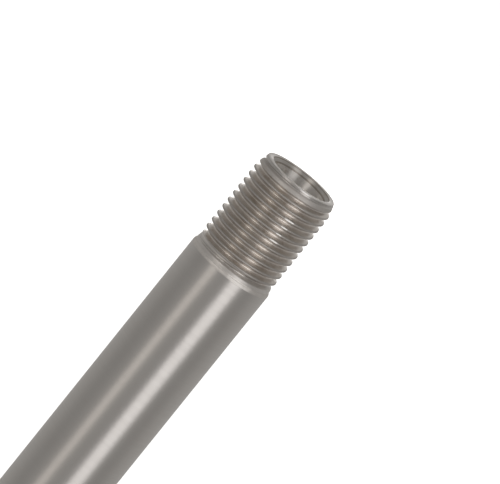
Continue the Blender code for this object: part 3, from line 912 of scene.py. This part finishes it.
def build_fillings():
    """Magnesia core, casting resin and alumina guide bush, each with its two wire holes."""
    _, radius, low, high = extent("magnesia_core")
    profile = [
        (0.0, high),
        (radius, high),
        (radius, low),
        (POCKET_R, low),
        (POCKET_R, POCKET_TOP),
        (0.0, POCKET_TOP),
    ]
    mesh = lathe("core_surface", fillet(profile, 0.06, False), 72, closed=False)
    mesh = drilled(mesh, CONDUCTOR_R + FIT_GAP, POCKET_TOP, high, 0.02)
    powder = ceramic("magnesia", (0.80, 0.785, 0.74), (0.88, 0.87, 0.83), 0.88, 7.0, 0.02, 0.0)
    add_piece("core_surface", mesh, powder, "insert", "magnesia_core")

    _, radius, low, high = extent("potting_seal")
    shares = (0.0, 0.3, 0.55, 0.75, 0.9)
    meniscus = [(radius * share, high - 0.10 * (1 - share**4)) for share in shares]
    profile = [*meniscus, (radius, high), (radius, low), (0.0, low)]
    mesh = lathe("resin_surface", fillet(profile, 0.05, False), 96, closed=False)
    mesh = drilled(mesh, extent("positive_splice")[1] + FIT_GAP, low, high, 0.0)
    add_piece("resin_surface", mesh, potting_resin(), "insert", "potting_seal")

    _, radius, low, high = extent("guide_bush")
    face_r = radius - BUSH_CHAMFER
    profile = [
        (0.0, high),
        (face_r, high),
        (radius, high - BUSH_CHAMFER_HEIGHT),
        (radius, low + BUSH_CHAMFER_HEIGHT),
        (face_r, low),
        (0.0, low),
    ]
    mesh = lathe("bush_surface", fillet(profile, 0.12, False), 96, closed=False)
    mesh = drilled(mesh, BUSH_HOLE_R, low, high, 0.12)
    fired = ceramic("alumina", (0.86, 0.83, 0.75), (0.91, 0.89, 0.84), 0.42, 5.0, 0.008, 0.15)
    add_piece("bush_surface", mesh, fired, "tube", "guide_bush")


def build_springs():
    """Compression spring with ground ends, and the open snap ring."""
    _, _, low, high = extent("compression_spring")
    bottom, top = low + SPRING_WIRE_R, high - SPRING_WIRE_R
    turns = SPRING_ACTIVE_TURNS + 2
    turn = np.linspace(0.0, turns, turns * 40 + 1)
    active = np.clip(turn - 1, 0, SPRING_ACTIVE_TURNS)
    active_pitch = (top - bottom - 2 * SPRING_END_PITCH) / SPRING_ACTIVE_TURNS
    z = bottom + SPRING_END_PITCH * (turn - active) + active_pitch * active
    seat = SPRING_SEAT_DEPTH * np.clip(1 - turn / SPRING_SEAT_TURNS, 0, 1)
    z = z - seat + seat[::-1]
    angle = math.tau * turn
    path = np.column_stack([SPRING_MEAN_R * np.cos(angle), SPRING_MEAN_R * np.sin(angle), z])
    verts, faces = sweep(path, SPRING_WIRE_R, 20, 0.1)
    verts[:, 2] = np.clip(verts[:, 2], low, high)
    wire = worked_metal(
        "spring_wire", (0.56, 0.545, 0.53), (0.64, 0.63, 0.62), 0.26, "drawn", relief=0.002
    )
    mesh = finish_mesh("spring_coil", verts, faces)
    spring = add_piece("spring_coil", mesh, wire, "tube", "compression_spring")
    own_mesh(spring)

    _, _, low, high = extent("snap_ring")
    steps = np.linspace(RING_OPENING / 2, math.tau - RING_OPENING / 2, 121)
    middle = np.full(len(steps), (low + high) / 2)
    path = np.column_stack([BORE_R * np.cos(steps), BORE_R * np.sin(steps), middle])
    mesh = finish_mesh("snap_ring_wire", *sweep(path, (high - low) / 2, 20, 0.15))
    ring = worked_metal(
        "ring_wire", (0.54, 0.52, 0.50), (0.63, 0.61, 0.59), 0.28, "cast", relief=0.002
    )
    add_piece("snap_ring_wire", mesh, ring, "tube", "snap_ring")


def build_leg(side, conductor_look, braid_look, crimped, tinned, strand_look):
    """Conductor, splice, stranded lead, braid and ferrule of one leg."""
    x, radius, low, high = extent(f"{side}_conductor")
    path = [(x, 0.0, h) for h in np.linspace(low, high, 60)]
    mesh = finish_mesh(f"{side}_wire", *sweep(path, radius, 24, 0.12))
    look, slot = conductor_look
    add_piece(f"{side}_wire", mesh, look, "insert", f"{side}_conductor")

    _, radius, low, high = extent(f"{side}_splice")
    middle = (low + high) / 2
    outer = [(radius, h) for h in np.linspace(high, low, 57)]
    lead_bore = LEAD_R + FIT_GAP
    inner = [
        (CONDUCTOR_R + FIT_GAP, low),
        (CONDUCTOR_R + FIT_GAP, middle),
        (lead_bore, middle),
        (lead_bore, high),
    ]

    def pressed(splice_r, theta, z):
        """Two dents from the crimping jaws, squeezed from both sides."""
        places = (SPLICE_DENT_PLACE, high - low - SPLICE_DENT_PLACE)
        dents = sum(np.exp(-(((z - low - place) / SPLICE_DENT_HALF) ** 4)) for place in places)
        hollow = SPLICE_DENT_DEPTH * dents * (0.5 + 0.5 * np.cos(2 * theta)) ** 2
        return np.where(splice_r > radius - 0.05, splice_r - hollow, splice_r)

    profile = fillet([*outer, *inner], 0.05, True, 2)
    mesh = lathe(f"{side}_crimp", profile, 48, x, shape=pressed)
    add_piece(f"{side}_crimp", mesh, crimped, "insert", f"{side}_splice")

    _, radius, low, high = extent(f"{side}_lead")
    strand_r = radius / 3
    heights = np.linspace(low, high, 140)
    strands = [sweep([(x, 0.0, h) for h in heights], strand_r, 10, strand_r)]
    for k in range(STRANDS_ROUND):
        angle = math.tau * (k / STRANDS_ROUND + (heights - low) / STRAND_LAY)
        east, north = 2 * strand_r * np.cos(angle), 2 * strand_r * np.sin(angle)
        path = np.column_stack([x + east, north, heights])
        strands.append(sweep(path, strand_r, 10, strand_r))
    mesh = finish_mesh(f"{side}_strands", *join_parts(strands))
    add_piece(f"{side}_strands", mesh, strand_look, "insert", f"{side}_lead")

    _, radius, low, high = extent(f"{side}_lead_sleeve")
    outer = [(radius, h) for h in np.linspace(high, low, 150)]
    inner = [(lead_bore, h) for h in np.linspace(low, high, 9)]

    def yarns(sleeve_r, theta, z):
        """Crossing yarns of the braid stand a little proud of its gaps."""
        turns, rise = BRAID_YARNS * theta, BRAID_RISE * z
        gap = (1 - np.maximum(np.sin(turns + rise), np.sin(turns - rise))) / 2
        return np.where(sleeve_r > radius - 0.05, sleeve_r - BRAID_RELIEF * gap, sleeve_r)

    mesh = lathe(f"{side}_braid", [*outer, *inner], 48, x, shape=yarns)
    look, slot = braid_look
    add_piece(f"{side}_braid", mesh, look, "insert", f"{side}_lead_sleeve")

    _, radius, low, high = extent(f"{side}_ferrule")
    profile = [
        (FERRULE_R, high),
        (FERRULE_R, low + FERRULE_NECK),
        (COLLAR_R, low + COLLAR_HEIGHT),
        (COLLAR_R, low),
        (lead_bore, low),
        (lead_bore, high),
    ]
    profile = fillet(profile, 0.07, True)
    fine = []
    for (r0, h0), (r1, h1) in zip(profile, profile[1:] + profile[:1]):
        cuts = max(1, int(abs(h1 - h0) / 0.08)) if min(r0, r1) > LEAD_R + 0.1 else 1
        fine += [(r0 + (r1 - r0) * i / cuts, h0 + (h1 - h0) * i / cuts) for i in range(cuts)]

    def squared(ferrule_r, theta, z):
        """Four sides pressed flat by the crimping jaws, in three bites."""
        places = (z - high + place for place in FERRULE_BITES)
        bite = sum(np.exp(-((place / FERRULE_BITE_HALF) ** 4)) for place in places)
        flat = FERRULE_BITE_DEPTH * bite * (0.5 + 0.5 * np.cos(4 * theta))
        on_barrel = (ferrule_r > FERRULE_R - 0.05) & (ferrule_r < FERRULE_R + 0.01)
        return np.where(on_barrel, ferrule_r - flat, ferrule_r)

    mesh = lathe(f"{side}_ferrule_tube", fine, 48, x, shape=squared)
    add_piece(f"{side}_ferrule_tube", mesh, tinned, "insert", f"{side}_ferrule")


def build_legs():
    """Both legs of the thermocouple pair and the bead that joins them."""
    crimped = worked_metal(
        "crimp_nickel", (0.60, 0.58, 0.54), (0.70, 0.68, 0.64), 0.32, "cast", relief=0.003
    )
    tinned = worked_metal(
        "tinned_ferrule", (0.72, 0.71, 0.68), (0.82, 0.81, 0.79), 0.26, "cast", relief=0.002
    )
    strands = worked_metal(
        "lead_wire", (0.64, 0.61, 0.56), (0.74, 0.72, 0.68), 0.3, "drawn", relief=0.002
    )
    chrome = worked_metal("nickel_chromium", (0.40, 0.385, 0.36), (0.48, 0.47, 0.45), 0.34, "drawn")
    alloy = worked_metal("nickel_aluminium", (0.48, 0.45, 0.39), (0.56, 0.53, 0.48), 0.34, "drawn")
    left, right = extent("positive_lead")[0], extent("negative_lead")[0]
    green = braided("green_insulation", left, (0.035, 0.30, 0.10), (0.012, 0.12, 0.045))
    white = braided("white_insulation", right, (0.84, 0.83, 0.79), (0.52, 0.50, 0.46))
    for side, conductor_look, braid_look in (
        ("positive", (chrome, "nickel_chromium"), (green, "green_insulation")),
        ("negative", (alloy, "nickel_aluminium"), (white, "white_insulation")),
    ):
        build_leg(side, conductor_look, braid_look, crimped, tinned, strands)

    low, high = (Vector(corner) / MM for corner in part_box("hot_junction"))
    middle, half = (low + high) / 2, (high - low) / 2
    body = bmesh.new()
    bmesh.ops.create_icosphere(body, subdivisions=5, radius=1.0)
    for vert in body.verts:
        waist = 0.10 * math.exp(-((vert.co.x / 0.35) ** 2)) * vert.co.z**2
        swell = 0.97 + 0.03 * noise.noise(vert.co * 2.4) - waist
        vert.co = (middle + vert.co * swell * half) * MM
    for face in body.faces:
        face.smooth = True
    mesh = bpy.data.meshes.new("junction_bead")
    body.to_mesh(mesh)
    body.free()
    bead = worked_metal(
        "junction_bead", (0.27, 0.25, 0.25), (0.42, 0.39, 0.37), 0.45, "cast", relief=0.01
    )
    add_piece("junction_bead", mesh, bead, "insert", "hot_junction")


def build_camera():
    """Long lens, seen a little from above the mouth, with the axis leaning to the right."""
    toward = Vector((0.0, -math.cos(CAMERA_ELEVATION), math.sin(CAMERA_ELEVATION)))
    across = Vector((1.0, 0.0, 0.0))
    upward = toward.cross(across)
    right = across * math.sin(AXIS_LEAN) + upward * math.cos(AXIS_LEAN)
    up = toward.cross(right)
    data = bpy.data.cameras.new("camera")
    data.sensor_width = 36.0
    data.lens = data.sensor_width * CAMERA_DISTANCE / VIEW_WIDTH
    data.clip_start = 0.05
    camera = add_object("camera", data)
    turn = Matrix((right, up, toward)).transposed().to_4x4()
    camera.matrix_world = Matrix.Translation(TARGET + toward * CAMERA_DISTANCE) @ turn
    bpy.context.scene.camera = camera


def softbox(name, azimuth, width, radiance, tint, height=1.6, middle=0.3):
    """Tall panel of light at an azimuth counted from the camera's side, facing the axis."""
    data = bpy.data.lights.new(name, "AREA")
    data.shape = "RECTANGLE"
    data.size = width
    data.size_y = height
    data.energy = radiance * math.pi * width * height
    data.color = tint
    light = add_object(name, data)
    out = Vector((math.sin(azimuth), -math.cos(azimuth), 0.0))
    side = Vector((math.cos(azimuth), math.sin(azimuth), 0.0))
    up = Vector((0.0, 0.0, 1.0))
    turn = Matrix((side, up, out)).transposed().to_4x4()
    light.matrix_world = Matrix.Translation(out * SOFTBOX_DISTANCE + up * middle) @ turn
    light.visible_camera = False


def build_surround():
    """Grey studio walls for reflections, and plain white behind for the camera."""
    world = bpy.data.worlds.new("studio")
    bpy.context.scene.world = world
    world.use_nodes = True
    tree = world.node_tree
    tree.nodes.clear()

    def add(kind, **values):
        node = tree.nodes.new(kind)
        for key, value in values.items():
            setattr(node, key, value)
        return node

    split = add("ShaderNodeSeparateXYZ")
    tree.links.new(add("ShaderNodeTexCoord").outputs["Generated"], split.inputs[0])
    flip = add("ShaderNodeMath", operation="MULTIPLY")
    tree.links.new(split.outputs["Y"], flip.inputs[0])
    flip.inputs[1].default_value = -1.0
    angle = add("ShaderNodeMath", operation="ARCTAN2")
    tree.links.new(split.outputs["X"], angle.inputs[0])
    tree.links.new(flip.outputs[0], angle.inputs[1])
    share = add("ShaderNodeMath", operation="MULTIPLY_ADD")
    tree.links.new(angle.outputs[0], share.inputs[0])
    share.inputs[1].default_value = 1 / math.tau
    share.inputs[2].default_value = 0.5
    ramp = add("ShaderNodeValToRGB")
    ramp.color_ramp.interpolation = "B_SPLINE"
    walls = [
        (-180, 0.50),
        (-115, 0.49),
        (-81, 0.32),
        (-52, 0.46),
        (0, 0.40),
        (60, 0.46),
        (81, 0.32),
        (112, 0.52),
        (180, 0.50),
    ]
    stops = ramp.color_ramp.elements
    while len(stops) < len(walls):
        stops.new(0.5)
    for stop, (degrees, level) in zip(stops, walls):
        stop.position = degrees / 360 + 0.5
        stop.color = (level * 1.02, level, level * 0.97, 1.0)
    tree.links.new(share.outputs[0], ramp.inputs[0])
    walls_light = add("ShaderNodeBackground")
    tree.links.new(ramp.outputs[0], walls_light.inputs["Color"])
    white = add("ShaderNodeBackground")
    white.inputs["Color"].default_value = (1.0, 1.0, 1.0, 1.0)
    choose = add("ShaderNodeMixShader")
    tree.links.new(add("ShaderNodeLightPath").outputs["Is Camera Ray"], choose.inputs["Fac"])
    tree.links.new(walls_light.outputs[0], choose.inputs[1])
    tree.links.new(white.outputs[0], choose.inputs[2])
    tree.links.new(choose.outputs[0], add("ShaderNodeOutputWorld").inputs["Surface"])


def build_floor():
    """Wide pale floor that the tip stands on."""
    body = bmesh.new()
    bmesh.ops.create_grid(body, x_segments=1, y_segments=1, size=FLOOR_SIZE)
    mesh = bpy.data.meshes.new("studio_floor")
    body.to_mesh(mesh)
    body.free()
    floor = add_object("studio_floor", mesh)
    floor.location = (0.0, 0.0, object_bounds()[0][2] - FLOOR_GAP * MM)
    nodes = Nodes("pale_floor")
    nodes.set(Base_Color=(0.9, 0.9, 0.9, 1.0), Roughness=0.9)
    nodes.set(Emission_Color=(1.0, 1.0, 1.0, 1.0), Emission_Strength=0.6)
    mesh.materials.append(nodes.material)
    floor.visible_glossy = False
    floor.visible_diffuse = False


build_camera()
build_surround()
softbox("key_light", math.radians(36), 0.32, 1.18, (1.0, 0.985, 0.985))
softbox("fill_light", math.radians(-32), 0.19, 0.47, (1.0, 0.93, 0.85))
softbox("high_light", math.radians(-33), 0.19, 2.1, (1.0, 0.97, 0.94), height=0.45, middle=0.42)
softbox("back_light", math.radians(180), 0.16, 2.2, (1.0, 0.985, 0.97), height=0.22, middle=-0.03)
build_floor()
build_tube()
build_tip()
build_insert_metal()
build_fillings()
build_springs()
build_legs()
bpy.context.scene.view_settings.view_transform = "Standard"
